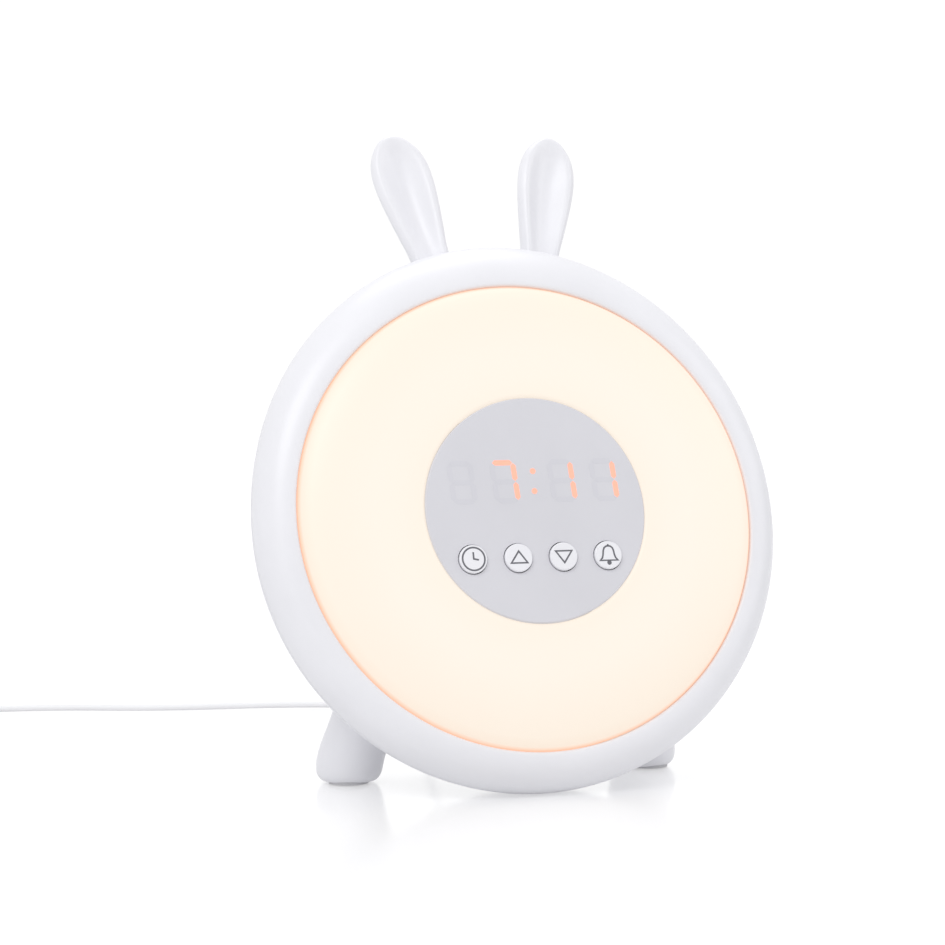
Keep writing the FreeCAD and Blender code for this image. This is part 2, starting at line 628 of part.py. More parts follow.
# Feet, drawn on the table
def foot(side):
    """A stubby foot, rounded at the table, that swells as it runs up into the casing."""
    x, y = side * FOOT_PLACE[0], FOOT_PLACE[1] + FACE_Y
    dx, dy = side * FOOT_TOP_SHIFT[0], FOOT_TOP_SHIFT[1]
    wires = []
    for share, radius in ((0.0, FOOT_RADIUS - 2.2), (0.025, FOOT_RADIUS - 0.7), (0.075, FOOT_RADIUS),
                          (0.35, FOOT_RADIUS + 0.6), (0.7, FOOT_RADIUS + 1.6), (1.0, FOOT_TOP_RADIUS)):
        circle = Part.Circle(Vector(x + dx * share, y + dy * share, PAD_PROUD + (FOOT_REACH - PAD_PROUD) * share),
                             UP, radius)
        wires.append(Part.Wire([circle.toShape()]))
    shape = Part.makeLoft(wires, True, False)
    shape = shape.cut(leant(body_volume(0.03)))
    shape = min(shape.Solids, key=lambda s: s.BoundBox.Center.z)
    place, normal = foot_screw_seat(side)
    return cut_all(shape, [rod((x, y, 0), UP, PAD_RADIUS + 0.1, PAD_THICK),
                           leant(rod(place - normal, normal, PILOT_RADIUS, 10))])


PAD_RADIUS = 6.6


def foot_pad(side):
    return rod((side * FOOT_PLACE[0], FOOT_PLACE[1] + FACE_Y, 0), UP, PAD_RADIUS, PAD_THICK - 0.05)


def foot_screw_seat(side):
    """Place on the rear shell's outside over a foot, and the outward normal there, in the clock frame."""
    poles, t = back_curve(), 0.6
    r, d = on_curve(poles, t)
    ahead, behind = on_curve(poles, t + 0.01), on_curve(poles, t - 0.01)
    along = Vector(ahead[0] - behind[0], ahead[1] - behind[1], 0).normalize()
    out = Vector(along.y, -along.x, 0)
    a = math.radians(-90 + side * 40)
    place = Vector(r * math.cos(a), d, r * math.sin(a))
    return place, Vector(out.x * math.cos(a), out.y, out.x * math.sin(a))


def foot_screw(side):
    place, normal = foot_screw_seat(side)
    return screw(place - normal * (WALL + 0.35), -normal, 2.8, 1.8, THREAD_RADIUS, 9)


# Power cord with its plugs
def dc_plug():
    """Barrel of the plug in the jack and its round grip."""
    grip = turned([(0, PLUG_START), (4.6, PLUG_START), (5.0, PLUG_START + 0.4), (5.0, PLUG_START + 12),
                   (3.4, PLUG_START + 14), (0, PLUG_START + 14), (0, PLUG_START)])
    barrel = rod((0, PLUG_START - 7.0, 0), DEPTH, JACK_BORE_RADIUS - 0.05, 7.5)
    plug = fuse_all(grip, [barrel]).cut(rod((0, PLUG_START - 8, 0), DEPTH, 1.0, 6.6))
    plug.translate(Vector(0, 0, JACK_HEIGHT))
    return plug


PLUG_START = BODY_DEPTH + 0.3
RELIEF_START = PLUG_START + 14.02
RELIEF_LENGTH = 13.0


def strain_relief():
    cone = turned([(CORD_RADIUS + 0.02, RELIEF_START), (2.9, RELIEF_START),
                   (CORD_RADIUS + 0.6, RELIEF_START + RELIEF_LENGTH),
                   (CORD_RADIUS + 0.02, RELIEF_START + RELIEF_LENGTH), (CORD_RADIUS + 0.02, RELIEF_START)])
    cone.translate(Vector(0, 0, JACK_HEIGHT))
    return cone


def on_table(point):
    """Where a place in the clock frame is on the table."""
    x, d, z = point
    lean = math.radians(LEAN_DEG)
    return Vector(x, d * math.cos(lean) + z * math.sin(lean) + FACE_Y,
                  face_height() + z * math.cos(lean) - d * math.sin(lean))


COIL_MIDDLE = Vector(-180, 199, 0)
COIL_START_RADIUS = COIL_INNER_RADIUS + COIL_PITCH * COIL_TURNS
COIL_LEAD = 3.0            # straight lead at each end of the coil
COIL_RISE = 2 * CORD_RADIUS + 0.5


def cord_route():
    """Places the cord passes: out of the strain relief, down to the table, back and away to the left."""
    low = CORD_RADIUS
    level = COIL_MIDDLE.y + COIL_START_RADIUS
    return [on_table((0, RELIEF_START + 0.05, JACK_HEIGHT)), on_table((0, RELIEF_START + 26, JACK_HEIGHT)),
            Vector(3, 106, 12), Vector(9, 142, low), Vector(4, 184, low), Vector(-30, 198, low),
            Vector(-78, 203, low), Vector(-122, level, low),
            Vector(COIL_MIDDLE.x + COIL_LEAD, level, low)]


def rounded_path(points):
    """Edges of a path of straight runs joined by tangent arcs."""
    edges, last = [], points[0]
    for a, b, c in zip(points, points[1:], points[2:]):
        back, on = a - b, c - b
        reach = 0.45 * min(back.Length, on.Length)
        turn = math.pi - back.getAngle(on)
        bend = reach / math.tan(turn / 2)
        print("cord bend radius %.1f mm, turn %.0f degrees" % (bend, math.degrees(turn)))
        back.normalize()
        on.normalize()
        first, second = b + back * reach, b + on * reach
        inward = (back + on).normalize()
        middle = b + inward * (math.hypot(bend, reach) - bend)
        edges.append(Part.makeLine(last, first))
        edges.append(Part.Arc(first, middle, second).toShape())
        last = second
    edges.append(Part.makeLine(last, points[-1]))
    return edges


def tube(edges, radius):
    """Round tube along the edges."""
    start = edges[0].valueAt(edges[0].FirstParameter)
    along = edges[0].tangentAt(edges[0].FirstParameter)
    ring = Part.Wire([Part.Circle(start, along, radius).toShape()])
    return Part.Wire(edges).makePipeShell([ring], True, False)


def coil_edges():
    """The wound cord: in along the lower layer, up over half a turn, and out along the upper layer."""
    edges = []
    at = COIL_MIDDLE + Vector(0, COIL_START_RADIUS, CORD_RADIUS)
    edges.append(Part.makeLine(at + Vector(COIL_LEAD, 0, 0), at))
    way = -1
    radius = COIL_START_RADIUS
    for half in range(4 * COIL_TURNS + 2):
        end = at + Vector(0, 2 * way * radius, 0)
        centre = (at + end) * 0.5
        if half == 2 * COIL_TURNS:
            steps = [i / 12 for i in range(13)]
            places = [centre + Vector(way * radius * math.sin(math.pi * s), -way * radius * math.cos(math.pi * s),
                                      COIL_RISE * s * s * (3 - 2 * s)) for s in steps]
            curve = Part.BSplineCurve()
            curve.interpolate(Points=places, InitialTangent=Vector(way, 0, 0), FinalTangent=Vector(-way, 0, 0))
            edges.append(curve.toShape())
            end = places[-1]
        else:
            edges.append(Part.Arc(at, centre + Vector(way * radius, 0, 0), end).toShape())
        radius += COIL_PITCH / 2 * (-1 if half < 2 * COIL_TURNS else 1)
        at, way = end, -way
    edges.append(Part.makeLine(at, at + Vector(way * USB_START, 0, 0)))
    return edges


USB_START = 30.0           # from the coil's middle line to the plug's strain relief
USB_RELIEF = 8.0


def coil_gap(edges):
    """Least gap of the wound cord to itself, measured on points along it."""
    places = [p for e in edges for p in e.discretize(Distance=1.0)]
    run, total = [], 0.0
    for a, b in zip(places, places[1:] + places[-1:]):
        run.append(total)
        total += a.distanceToPoint(b)
    least = min(a.distanceToPoint(b) for i, a in enumerate(places) for j, b in enumerate(places[:i])
                if run[i] - run[j] > 12 * CORD_RADIUS)
    return least - 2 * CORD_RADIUS, total


def usb_place():
    """Where the USB plug's strain relief begins."""
    radius = COIL_INNER_RADIUS + COIL_PITCH * (COIL_TURNS + 0.5)
    return COIL_MIDDLE + Vector(-USB_START, radius, 0) + Vector(0, 0, CORD_RADIUS + COIL_RISE)


def usb_relief():
    place = usb_place() - Vector(0.02, 0, 0)
    cone = Part.makeCone(CORD_RADIUS + 0.6, 2.6, USB_RELIEF, place, Vector(-1, 0, 0))
    return cone.cut(Part.makeCylinder(CORD_RADIUS + 0.02, USB_RELIEF - 1, place, Vector(-1, 0, 0)))


USB_GRIP = (24.0, 15.4, 8.0)
USB_SHELL = (12.0, 12.0, 4.5)


def usb_grip():
    length, width, height = USB_GRIP
    place = usb_place() - Vector(USB_RELIEF + 0.04 + length, width / 2, height / 2)
    grip = Part.makeBox(length, width, height, place)
    grip = grip.makeFillet(2.2, [e for e in grip.Edges if abs(e.tangentAt(e.FirstParameter).x) > 0.9])
    return grip


def usb_shell():
    """Folded metal tube of the plug with its contact tongue."""
    length, width, height = USB_SHELL
    place = usb_place() - Vector(USB_RELIEF + 0.08 + USB_GRIP[0] + length, width / 2, height / 2)
    shell = Part.makeBox(length, width, height, place)
    hollow = Part.makeBox(length - 0.5, width - 0.7, height - 0.7, place + Vector(-0.01, 0.35, 0.35))
    tongue = Part.makeBox(length - 0.7, width - 1.0, 1.8, place + Vector(0.4, 0.5, 0.35))
    windows = [Part.makeBox(2.4, 2.4, 1.5, place + Vector(5, width / 2 + side * 3 - 1.2, height - 1))
               for side in (-1, 1)]
    return cut_all(shell.cut(hollow), windows).fuse(tongue).removeSplitter()


def housing_screws():
    return [screw((x, BODY_DEPTH - 6, z), (0, 1, 0), 3.0, 2.2, THREAD_RADIUS, 20) for x, z in screw_places()]


def rim_screws():
    seat = LEDGE_DEPTH + 1.85
    return [screw((x, seat, z), (0, 1, 0), 1.9, 1.2, 0.95, 6.5) for x, z in around(6, RIM_SCREW_RADIUS, 30)]


def pod_screws():
    return [screw((x, POD_BACK + 0.05, z), (0, 1, 0), 2.2, 1.4, SMALL_THREAD, 6.5)
            for x, z in around(4, POD_SCREW_RADIUS, 0)]


def display_screws():
    return [screw((x, BOARD_FRONT - 0.05, z), (0, -1, 0), 1.9, 1.2, SMALL_THREAD, 6) for x, z in board_screw_places()]


def main_board_fixings():
    return [screw((x, MAIN_BOARD_FRONT + BOARD_THICK + 0.05, z), (0, 1, 0), 2.2, 1.4, SMALL_THREAD, 5)
            for x, z in main_board_screws()]


def door_screw():
    w, _ = DOOR_SIZE
    return screw((w / 2 - 3.4, BODY_DEPTH - 0.95, CELL_HEIGHT), (0, 1, 0), 1.9, 0.9, 0.85, 5.5)


def display_segments():
    return segments(PANEL_BACK + 0.2 - 0.3, 0.8 + 0.3 + 0.9)


def one(shapes):
    """Several like pieces kept as one compound node."""
    return Part.makeCompound(list(shapes))


def clock_pieces():
    """Every piece in the upright clock frame."""
    pieces = {
        "front_rim": front_rim(), "rear_shell": rear_shell(), "light_diffuser": light_diffuser(),
        "reflector": reflector(), "light_board": light_board(), "light_leds": one(light_leds()),
        "display_pod": display_pod(), "display_panel": display_panel(), "display_module": display_module(),
        "display_board": display_board(), "button_switches": one(tact_switches()),
        "main_board": main_board(), "board_spacers": one(board_spacers()), "board_parts": one(board_parts()),
        "speaker_frame": speaker_frame(), "speaker_cone": speaker_cone(), "speaker_magnet": speaker_magnet(),
        "power_jack": power_jack(), "backup_cell": backup_cell(), "cell_contact": cell_contacts(),
        "cell_door": cell_door(), "cell_door_screw": door_screw(), "housing_screws": one(housing_screws()),
        "rim_screws": one(rim_screws()), "pod_screws": one(pod_screws()),
        "display_screws": one(display_screws()), "main_board_screws": one(main_board_fixings()),
        "dc_plug": dc_plug(), "strain_relief": strain_relief(),
    }
    for index, name in enumerate(BUTTON_NAMES):
        pieces[name + "_button"] = button(index)
        pieces[name + "_plunger"] = plunger(index)
    for side, name in ((-1, "left"), (1, "right")):
        pieces["ear_" + name] = ear(side)
        pieces["ear_%s_washer" % name] = ear_washer(side)
        pieces["ear_%s_screw" % name] = ear_screw(side)
        pieces["foot_%s_screw" % name] = foot_screw(side)
    return pieces


def main():
    os.makedirs("parts", exist_ok=True)
    pieces = {name: leant(shape) for name, shape in clock_pieces().items()}
    below = Part.makeBox(400, 400, 50, Vector(-200, -200, -50))
    pieces["rear_shell"] = pieces["rear_shell"].cut(below)
    for side, name in ((-1, "left"), (1, "right")):
        pieces["foot_" + name] = foot(side)
        pieces["foot_pad_" + name] = foot_pad(side)
    route = rounded_path(cord_route())
    coil = coil_edges()
    pieces["power_cord"] = tube(route, CORD_RADIUS)
    pieces["cord_coil"] = tube(coil, CORD_RADIUS)
    pieces["usb_relief"], pieces["usb_grip"], pieces["usb_shell"] = usb_relief(), usb_grip(), usb_shell()
    gap, wound = coil_gap(coil)
    laid = sum(e.Length for e in route)
    print("coil: least gap to itself %.2f mm, %.0f mm wound, %.0f mm laid" % (gap, wound, laid))
    for name, length in (("power_cord", laid), ("cord_coil", sum(e.Length for e in coil))):
        section = math.pi * CORD_RADIUS ** 2
        print("%s: volume over section and length %.4f" % (name, pieces[name].Volume / (section * length)))
    cord = ("power_cord", "cord_coil", "usb_relief", "usb_grip", "usb_shell", "dc_plug", "strain_relief")
    box = FreeCAD.BoundBox()
    for name, shape in pieces.items():
        if name not in cord:
            box.add(shape.optimalBoundingBox(True, False))
        if not shape.isValid() or len(shape.Solids) < 1:
            print("bad solid:", name, shape.ShapeType, len(shape.Solids))
        shape.exportStep("parts/%s.step" % name)
    print("clock box: x %.2f %.2f, y %.2f %.2f, z %.2f %.2f" % (
        box.XMin, box.XMax, box.YMin, box.YMax, box.ZMin, box.ZMax))
    print(len(pieces), "pieces; face height %.2f" % face_height())


main()
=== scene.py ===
"""Looks of the kids alarm clock with a night light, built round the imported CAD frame."""
import json
import math

import bmesh
import bpy
from mathutils import Matrix, Vector


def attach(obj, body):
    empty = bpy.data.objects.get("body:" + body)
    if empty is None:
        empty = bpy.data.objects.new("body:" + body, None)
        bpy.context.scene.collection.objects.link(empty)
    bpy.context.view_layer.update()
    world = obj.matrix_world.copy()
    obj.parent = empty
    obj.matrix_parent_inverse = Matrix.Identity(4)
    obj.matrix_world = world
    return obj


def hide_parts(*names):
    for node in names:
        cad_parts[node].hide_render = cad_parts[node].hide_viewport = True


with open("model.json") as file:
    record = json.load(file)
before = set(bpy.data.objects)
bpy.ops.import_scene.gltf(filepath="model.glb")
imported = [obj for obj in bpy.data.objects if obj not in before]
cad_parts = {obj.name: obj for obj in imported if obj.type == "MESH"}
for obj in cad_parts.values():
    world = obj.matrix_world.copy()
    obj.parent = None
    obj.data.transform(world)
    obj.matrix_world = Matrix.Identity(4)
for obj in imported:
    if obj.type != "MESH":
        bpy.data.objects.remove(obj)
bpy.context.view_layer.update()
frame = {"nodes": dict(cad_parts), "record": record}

MM = 0.001
CASING = "casing"

# The clock's own frame, as in the CAD source: x right, depth from the face, z up the face, in millimetres
LEAN = math.radians(15.4)
FACE_Y = -26.2
FACE_Z = 89.24
TO_METRES = Matrix.Scale(MM, 4)
TO_TABLE = Matrix.Translation((0, FACE_Y * MM, FACE_Z * MM)) @ Matrix.Rotation(-LEAN, 4, "X") @ TO_METRES

# Casing
BODY_RADIUS = 89.0
BODY_DEPTH = 64.0
BACK_RADIUS = 44.0
BACK_PULL = 5              # of the back's curve, along the depth
BACK_PULL_IN = 15          # and inwards
RIM_CREST = 78.35
RIM_DEPTH = 12.0
RIM_LIP = [(0.15, 2.6), (0.15, 0.9), (0.3, 0.4), (0.7, 0.1)]    # gap to the diffuser, and depth
PARTING_DEPTH = 13.0
PARTING_LEDGE = 2.5
PARTING_EDGE = 0.25
RIM_GAP = 0.02
SKIN_GAP = 0.03
SKIN_LIFT = 0.1
CIRCLE_PULL = 0.5523       # makes a Bezier curve a quarter of a circle
STEPS = 192

# The casing's swell above its round form: its height, where it starts to fade and where it ends
CROWN_RISE = 4.8
CROWN_HOLD = 4
CROWN_END = 56.0
SKIN_START = PARTING_DEPTH + 0.3
SKIN_STOP = CROWN_END - 1

# Middle of the speaker grille, level with the wall round it
GRILLE_PITCH = 4.4
GRILLE_HOLE = 1.1
GRILLE_EDGE = 12.0
GRILLE_THICK = 1.0
GRILLE_DEPTH = 63.28

# Panel and diffuser
PANEL_RADIUS = 37.1
PANEL_FRONT = -7.3
LIGHT_RADIUS = 77.0
LIGHT_HOLE = PANEL_RADIUS + 0.15
LIGHT_HOLE_EDGE = 0.3
LIGHT_END = 3.5
DOME_HEIGHT = 7.1
DOME_FLAT = 57
DOME_SHOULDER = (0.8, -4.4)
DOME_END = 1.6

# Display digits, just proud of the panel
TIME = " 711"
DIGIT_CENTRES = (-24.1, -9.7, 9.7, 24.1)
DIGIT_ROW = 9.4
DIGIT_HEIGHT = 14.2
DIGIT_WIDTH = 8.8
DIGIT_STROKE = 1.7
DIGIT_SLANT = math.radians(-4)
SEGMENT_GAP = 0.35
COLON_RISE = 3.3
COLON_RADIUS = 0.95
SEVEN_SEGMENTS = {"7": "abc", "1": "bc", " ": ""}
SEGMENT_PLACES = {"a": (0, 1, False), "g": (0, 0, False), "d": (0, -1, False), "f": (-1, 0.5, True),
                  "b": (1, 0.5, True), "e": (-1, -0.5, True), "c": (1, -0.5, True)}
PRINT_LIFT = 0.03
PRINT_THICK = 0.02
UNLIT_DROP = 0.015

# Buttons and their signs, drawn round each button's centre
BUTTONS = ("clock", "up", "down", "alarm")
BUTTON_PITCH = 15.2
BUTTON_HEIGHT = -15.7
BUTTON_FRONT = PANEL_FRONT - 1.1
SIGN_LINE = 0.55
MITRE_LIMIT = 0.5
CLOCK_RING = 3.7
CLOCK_HANDS = [(0.0, 2.2), (0.0, 0.0), (1.7, -0.35)]
BELL_HALF = [(0.0, 2.75), (0.75, 2.6), (1.4, 2.1), (1.75, 1.2), (1.95, -0.2), (2.25, -1.15), (3.0, -2.0)]
BELL_LIFT = 0.2
BELL_TOP = (3.0, 3.5)
CLAPPER_HEIGHT = -2.55
CLAPPER_RADIUS = 0.75
ARROW_HALF = 2.75
ARROW_BASE = -1.75
ARROW_TIP = 2.1

# Ears: distance along the ear, width, thickness and depth of the soft hollow
EAR_ROOT = (17.1, 20.4, 83.0)
EAR_SPREAD = math.radians(12.3)
EAR_BACK = math.radians(6.2)
EAR_TOE = math.radians(5)
EAR_HOLLOW = 0.80
EAR_STEPS = 64
EAR_ROWS = [(-3, 12.6, 10.2, 2.2), (11.8, 13.6, 10.2, 3.6), (20, 16.0, 10.0, 4.8), (28, 18.4, 9.8, 5.6),
            (36, 20.2, 9.4, 5.8), (43, 20.2, 8.9, 5.2), (48.5, 17.6, 8.0, 3.8), (52.3, 13.2, 6.6, 2.0),
            (54.8, 8.4, 4.8, 0.6), (56.0, 3.8, 2.4, 0.0)]

# Feet: height, radius and shift towards the middle
FOOT_PLACE = (52.0, 34.5)
FOOT_LEAN = 0.6
FOOT_STEPS = 64
FOOT_ROWS = [(0.35, 8.2, 0), (1.0, 9.5, 0), (3.0, 10.8, 0), (7, 11.3, 0.4), (12, 11.4, 1.6), (18, 11.6, 3.8),
             (24, 12.4, 6.4), (30, 14.4, 8.8), (36, 17.0, 11.4), (42, 19.0, 14.0)]

# Power cord, in metres
CORD_DIAMETER = 0.0024
ON_TABLE = CORD_DIAMETER / 2
CORD_START = tuple(TO_TABLE @ Vector((0, 91.37, -32)))
RELIEF_END = tuple(TO_TABLE @ Vector((0, 104.32, -32)))
COIL_X = -0.180
COIL_Y = 0.199
COIL_TURNS = 5
COIL_PITCH = 0.0030
COIL_INNER = 0.0096
COIL_OUTER = COIL_INNER + COIL_PITCH * COIL_TURNS
COIL_RISE = CORD_DIAMETER + 0.0005
COIL_POINTS = 16
USB_Y = COIL_Y + COIL_INNER + COIL_PITCH * (COIL_TURNS + 0.5)
USB_LEAD = (0.006, 0.030)
CORD_ROUTE = [CORD_START, RELIEF_END, (0.003, 0.106, 0.012), (0.009, 0.142, ON_TABLE),
              (0.004, 0.184, ON_TABLE), (-0.030, 0.198, ON_TABLE), (-0.078, 0.203, ON_TABLE),
              (-0.122, COIL_Y + COIL_OUTER, ON_TABLE), (COIL_X + 0.003, COIL_Y + COIL_OUTER, ON_TABLE)]

# Camera, as measured in the photograph. AIM is how far the picture's middle is across from the face's
# middle, and its height, in millimetres
AZIMUTH = math.radians(-17.4)
PITCH = math.radians(2.7)
ROLL = math.radians(-0.4)
DISTANCE = 0.9
AIM = (-18.3, 102.94)
FOCAL_PIXELS = 2780.5
PICTURE = 945
SENSOR = 36

# Colours, and how brightly the diffuser glows
WHITE = (0.83, 0.83, 0.87)
CREAM = (1.0, 0.915, 0.80)
WARM_CREAM = (1.0, 0.86, 0.715)
EDGE_CREAM = (1.0, 0.82, 0.66)
# The peach line and its base colour are painted shade where the lens curves down into the rim
PEACH_EDGE_SHADE = (1.0, 0.60, 0.42)
LENS_BASE = (0.30, 0.285, 0.265)
EDGE_SHADE_BASE = (0.40, 0.26, 0.20)
LENS_GLOW = 0.68

# Table and sky, which shine less on the clock than the camera sees
TABLE_SIZE = 3.0
TABLE_DROP = 0.0003
TABLE_GLOW = 0.33
TABLE_COLOURS = [(0.57, 0.57, 0.575), (0.59, 0.59, 0.595)]
TABLE_UNSEEN = (0.8, 0.8, 0.8)
SKY_LEVELS = (0.62, 1.03)

# Lights: place, width, power and the point that each is turned to
LIGHTS = {
    "key_light": ((-0.9, -0.8, 1.3), 1.0, 9, (0, 0, 0.1)),
    "fill_light": ((1.2, -0.6, 0.7), 1.2, 4, (0, 0, 0.1)),
    "top_light": ((0.1, 0.5, 1.5), 1.0, 5, (0, 0, 0.1)),
    "low_light": ((-0.9, -0.8, 0.25), 0.8, 1.0, (0, 0, 0.05)),
}


# Materials
class Nodes:
    """A node tree and short ways to add to it."""

    def __init__(self, tree):
        self.tree = tree

    def set(self, node, values):
        for key, value in values.items():
            socket = node.inputs[int(key[2:]) if key.startswith("in") else key.replace("_", " ")]
            if isinstance(value, bpy.types.NodeSocket):
                self.tree.links.new(value, socket)
            else:
                socket.default_value = value

    def add(self, kind, options=None, **values):
        node = self.tree.nodes.new("ShaderNode" + kind)
        for key, value in (options or {}).items():
            setattr(node, key, value)
        self.set(node, values)
        return node

    def math(self, operation, a, b=0.0):
        return self.add("Math", {"operation": operation}, in0=a, in1=b).outputs[0]

    def span(self, value, low, high, start=0.0, end=1.0):
        """Spreads start to end over low to high."""
        return self.add("MapRange", Value=value, in1=start, in2=end, in3=low, in4=high).outputs[0]

    def seen(self):
        """1 for what the camera sees, itself or in a reflection, and 0 for what only lights other things."""
        path = self.add("LightPath")
        return self.math("MAXIMUM", path.outputs["Is Camera Ray"], path.outputs["Is Glossy Ray"])


class Look(Nodes):
    """A Principled material."""

    def __init__(self, name, **values):
        self.material = bpy.data.materials.new(name)
        self.material.use_nodes = True
        super().__init__(self.material.node_tree)
        self.shader = self.tree.nodes["Principled BSDF"]
        self.shade(**values)

    def shade(self, **values):
        self.set(self.shader, values)

    def coordinates(self):
        return self.add("TexCoord").outputs["Object"]

    def noise(self, scale, detail=2.0):
        node = self.add("TexNoise", Vector=self.coordinates(), Scale=scale, Detail=detail)
        return node.outputs["Fac"]

    def mix(self, factor, *colours):
        a, b = (c if isinstance(c, bpy.types.NodeSocket) else (*c, 1) for c in colours)
        return self.add("Mix", {"data_type": "RGBA"}, in0=factor, in6=a, in7=b).outputs[2]

    def bump(self, height, strength, distance):
        node = self.add("Bump", Strength=strength, Distance=distance, Height=height)
        self.shade(Normal=node.outputs[0])


def times(colour, factor):
    return tuple(c * factor for c in colour)


def moulded(name, colour, rough=0.38, grain=1400, strength=0.12):
    """Moulded plastic: a faint sparkle of grain, slow waviness and slight variation of colour and gloss."""
    look = Look(name)
    slow = look.noise(28, detail=3)
    fine = look.noise(grain)
    look.shade(Base_Color=look.mix(look.span(slow, 0, 1, start=0.35, end=0.65), times(colour, 0.965), colour),
               Roughness=look.span(fine, rough - 0.05, rough + 0.06, start=0.3, end=0.7))
    look.bump(look.math("ADD", look.math("MULTIPLY", fine, 0.35), slow), strength, distance=0.00012)
    return look.material


def metal(name, colour, rough=0.3):
    """Plated metal with fine brushing and patchy gloss."""
    look = Look(name, Metallic=1.0)
    cloudy = look.noise(300, detail=4)
    look.shade(Base_Color=look.mix(cloudy, times(colour, 0.85), colour),
               Roughness=look.span(cloudy, rough - 0.08, rough + 0.12, start=0.3, end=0.7))
    look.bump(look.noise(3000, detail=1), strength=0.08, distance=0.00005)
    return look.material


def circuit_board(name, colour, track):
    """Solder mask over faint copper tracks."""
    look = Look(name, Coat_Weight=0.3, Coat_Roughness=0.15)
    cells = look.add("TexVoronoi", {"feature": "DISTANCE_TO_EDGE", "distance": "MANHATTAN"},
                     Vector=look.coordinates(), Scale=260.0)
    tracks = look.span(cells.outputs["Distance"], 1, 0, start=0.03, end=0.07)
    look.shade(Base_Color=look.mix(tracks, colour, track),
               Roughness=look.span(look.noise(900), 0.3, 0.5, start=0.3, end=0.7))
    look.bump(tracks, strength=0.2, distance=0.00004)
    return look.material


def face_radius(look):
    """Distance from the clock's axis, in millimetres."""
    turn = look.add("Mapping", {"vector_type": "POINT"}, Vector=look.coordinates())
    turn.inputs["Rotation"].default_value = (LEAN, 0, 0)
    spun = Matrix.Rotation(LEAN, 3, "X") @ Vector((0, FACE_Y * MM, FACE_Z * MM))
    turn.inputs["Location"].default_value = tuple(-v / MM for v in spun)
    turn.inputs["Scale"].default_value = (1 / MM,) * 3
    across, _, up = look.add("SeparateXYZ", Vector=turn.outputs[0]).outputs
    square = look.math("ADD", look.math("MULTIPLY", across, across), look.math("MULTIPLY", up, up))
    return look.math("SQRT", square)


def lit_diffuser():
    """Milky lens, lit from behind: cream, warmer towards its edge, with a thin darker peach line painted at
    the rim as shade where the lens curves down into it.
    """
    look = Look("diffuser_lit", Roughness=0.45, Emission_Strength=LENS_GLOW)
    radius = face_radius(look)
    cloud = look.math("MULTIPLY", look.noise(16), 14.0)
    warm = look.span(look.math("ADD", radius, cloud), 0, 1, start=52, end=82)
    near_panel = look.span(radius, 0, 0.6, start=54, end=38)
    edge = look.span(radius, 0, 1, start=73.0, end=76.8)
    # Thin peach line at the lens's edge: painted shade where the lens curves down into the rim
    painted_edge_shade = look.span(radius, 0, 1, start=75.9, end=76.9)
    glow = look.mix(warm, CREAM, WARM_CREAM)
    glow = look.mix(near_panel, glow, WARM_CREAM)
    glow = look.mix(edge, glow, EDGE_CREAM)
    look.shade(Emission_Color=look.mix(painted_edge_shade, glow, PEACH_EDGE_SHADE),
               Base_Color=look.mix(painted_edge_shade, LENS_BASE, EDGE_SHADE_BASE))
    look.bump(look.noise(1500), strength=0.05, distance=0.0001)
    return look.material


def glowing(name, colour, strength, base=(0.3, 0.1, 0.06)):
    look = Look(name, Roughness=0.4, Emission_Strength=strength)
    shimmer = look.noise(900)
    look.shade(Emission_Color=look.mix(shimmer, times(colour, 0.9), colour),
               Base_Color=look.mix(shimmer, base, times(base, 1.2)))
    return look.material


def white_surface(name):
    """Pale surface that looks white to the camera, with the object's shadow and a soft reflection."""
    look = Look(name, Roughness=0.15, Specular_IOR_Level=0.8, Emission_Strength=TABLE_GLOW)
    look.shade(Base_Color=look.mix(look.noise(3), *TABLE_COLOURS),
               Emission_Color=look.mix(look.seen(), TABLE_UNSEEN, (1, 1, 1)))
    return look.material


casing_white = moulded("casing_white", WHITE, 0.34)
panel_grey = moulded("panel_grey", (0.675, 0.672, 0.715), 0.42, 1800, 0.06)
button_white = moulded("button_white", (0.84, 0.84, 0.88), 0.4, 1600, 0.06)
icon_grey = moulded("icon_grey", (0.13, 0.13, 0.15), 0.5)
digit_lit = glowing("digit_lit", (1.0, 0.45, 0.34), 1.0)
digit_dark = moulded("digit_dark", (0.655, 0.652, 0.70), 0.4)
inner_white = moulded("inner_white", (0.85, 0.85, 0.85), 0.5)
black = moulded("black_plastic", (0.03, 0.03, 0.035), 0.45)
cord_white = moulded("cord_white", (0.86, 0.86, 0.88), 0.45, 2500, 0.2)
pad_rubber = moulded("pad_rubber", (0.50, 0.50, 0.52), 0.75, 2500, 0.4)
paper = moulded("cone_paper", (0.04, 0.04, 0.045), 0.8, 2600, 0.5)
steel = metal("steel", (0.62, 0.63, 0.65))
green = circuit_board("board_green", (0.015, 0.12, 0.05), (0.06, 0.25, 0.10))
white_board = circuit_board("board_white", (0.80, 0.80, 0.78), (0.70, 0.70, 0.66))
led_yellow = glowing("led_phosphor", (1.0, 0.78, 0.45), 1.5, (0.7, 0.5, 0.1))
diffuser_lit = lit_diffuser()

SLOT_LOOKS = {
    "casing_white": casing_white, "diffuser_warm": diffuser_lit, "panel_grey": panel_grey,
    "button_white": button_white, "inner_white": inner_white, "board_green": green,
    "board_white": white_board, "led": led_yellow, "module_black": black, "switch_black": black,
    "plunger_black": black, "speaker_steel": steel, "cone_paper": paper, "cell_steel": steel,
    "screw_steel": steel, "pad_rubber": pad_rubber, "cord_white": cord_white,
}


def dress(obj, look):
    obj.data.materials.clear()
    obj.data.materials.append(look)


for row in frame["record"]["subparts"]:
    dress(frame["nodes"][row["node"]], SLOT_LOOKS[row["material_slot"]])


